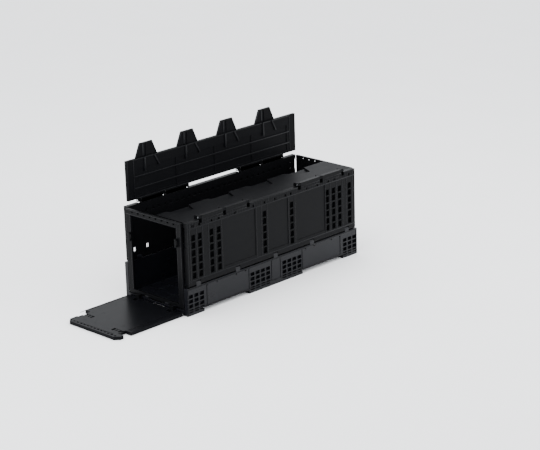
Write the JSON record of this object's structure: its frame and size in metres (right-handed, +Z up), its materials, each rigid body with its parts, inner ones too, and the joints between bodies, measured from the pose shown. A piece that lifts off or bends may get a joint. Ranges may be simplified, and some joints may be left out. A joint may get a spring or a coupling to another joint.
{
  "type": "folding crate",
  "caption": "Long black ribbed plastic crate with fold-in walls, two half lids, a drop door at one end and a solid panel at the other.",
  "frame": {"origin": "centre of the tray's footprint, on the ground", "axes": "+X along the crate towards the solid end, +Y from the front wall to the rear wall, +Z up"},
  "size_m": [1.487, 0.4, 0.689],
  "materials": {
    "black_plastic": "semi-gloss moulded",
    "steel_rod": "drawn"
  },
  "bodies": {
    "tray": {"base_tray": "black_plastic", "front_wall_rod": "steel_rod", "rear_wall_rod": "steel_rod", "left_frame_rod": "steel_rod", "right_wall_rod": "steel_rod"},
    "front_side": {"front_wall": "black_plastic", "front_left_catch": "black_plastic", "front_right_catch": "black_plastic"},
    "front_lid_rods": {"front_lid_rod_left": "steel_rod", "front_lid_rod_right": "steel_rod"},
    "front_lid_half": {"front_lid": "black_plastic"},
    "rear_side": {"rear_wall": "black_plastic", "rear_left_catch": "black_plastic", "rear_right_catch": "black_plastic"},
    "rear_lid_rods": {"rear_lid_rod_left": "steel_rod", "rear_lid_rod_right": "steel_rod"},
    "rear_lid_half": {"rear_lid": "black_plastic"},
    "left_frame": {"left_end_frame": "black_plastic", "left_door_rod": "steel_rod"},
    "door": {"left_door": "black_plastic"},
    "front_latch": {"door_latch_front": "black_plastic"},
    "rear_latch": {"door_latch_rear": "black_plastic"},
    "right_end": {"right_end_wall": "black_plastic"}
  },
  "joints": [
    {"name": "front_wall_fold", "type": "hinge", "parent": "tray", "child": "front_side", "pos_m": [0, -0.189, 0.138], "axis": [-1, 0, 0], "range_deg": [0, 90]},
    {"name": "front_lid_rod_turn", "type": "hinge", "parent": "front_side", "child": "front_lid_rods", "pos_m": [0, -0.193, 0.428], "axis": [-1, 0, 0], "range_deg": [-270, 0]},
    {"name": "front_lid_swing", "type": "hinge", "parent": "front_lid_rods", "child": "front_lid_half", "pos_m": [0, -0.193, 0.428], "axis": [-1, 0, 0], "range_deg": [-90, 0]},
    {"name": "rear_wall_fold", "type": "hinge", "parent": "tray", "child": "rear_side", "pos_m": [0, 0.189, 0.175], "axis": [1, 0, 0], "range_deg": [0, 90]},
    {"name": "rear_lid_rod_turn", "type": "hinge", "parent": "rear_side", "child": "rear_lid_rods", "pos_m": [0, 0.193, 0.428], "axis": [1, 0, 0], "range_deg": [-180, 0]},
    {"name": "rear_lid_swing", "type": "hinge", "parent": "rear_lid_rods", "child": "rear_lid_half", "pos_m": [0, 0.193, 0.428], "axis": [-1, 0, 0], "range_deg": [-90, 0]},
    {"name": "left_frame_fold", "type": "hinge", "parent": "tray", "child": "left_frame", "pos_m": [-0.545, 0, 0.031], "axis": [0, 1, 0], "range_deg": [0, 90]},
    {"name": "left_door_swing", "type": "hinge", "parent": "left_frame", "child": "door", "pos_m": [-0.559, 0, 0.0085], "axis": [0, 1, 0], "range_deg": [0, 90]},
    {"name": "front_latch_slide", "type": "slide", "parent": "door", "child": "front_latch", "axis": [0, -1, 0], "range_m": [0, 0.012]},
    {"name": "rear_latch_slide", "type": "slide", "parent": "door", "child": "rear_latch", "axis": [0, 1, 0], "range_m": [0, 0.012]},
    {"name": "right_wall_fold", "type": "hinge", "parent": "tray", "child": "right_end", "pos_m": [0.545, 0, 0.031], "axis": [0, -1, 0], "range_deg": [0, 90]}
  ],
  "couplings": [
    {"joint": "front_lid_rod_turn", "follows": "front_wall_fold", "ratio": -3},
    {"joint": "rear_lid_rod_turn", "follows": "rear_wall_fold", "ratio": -2}
  ]
}
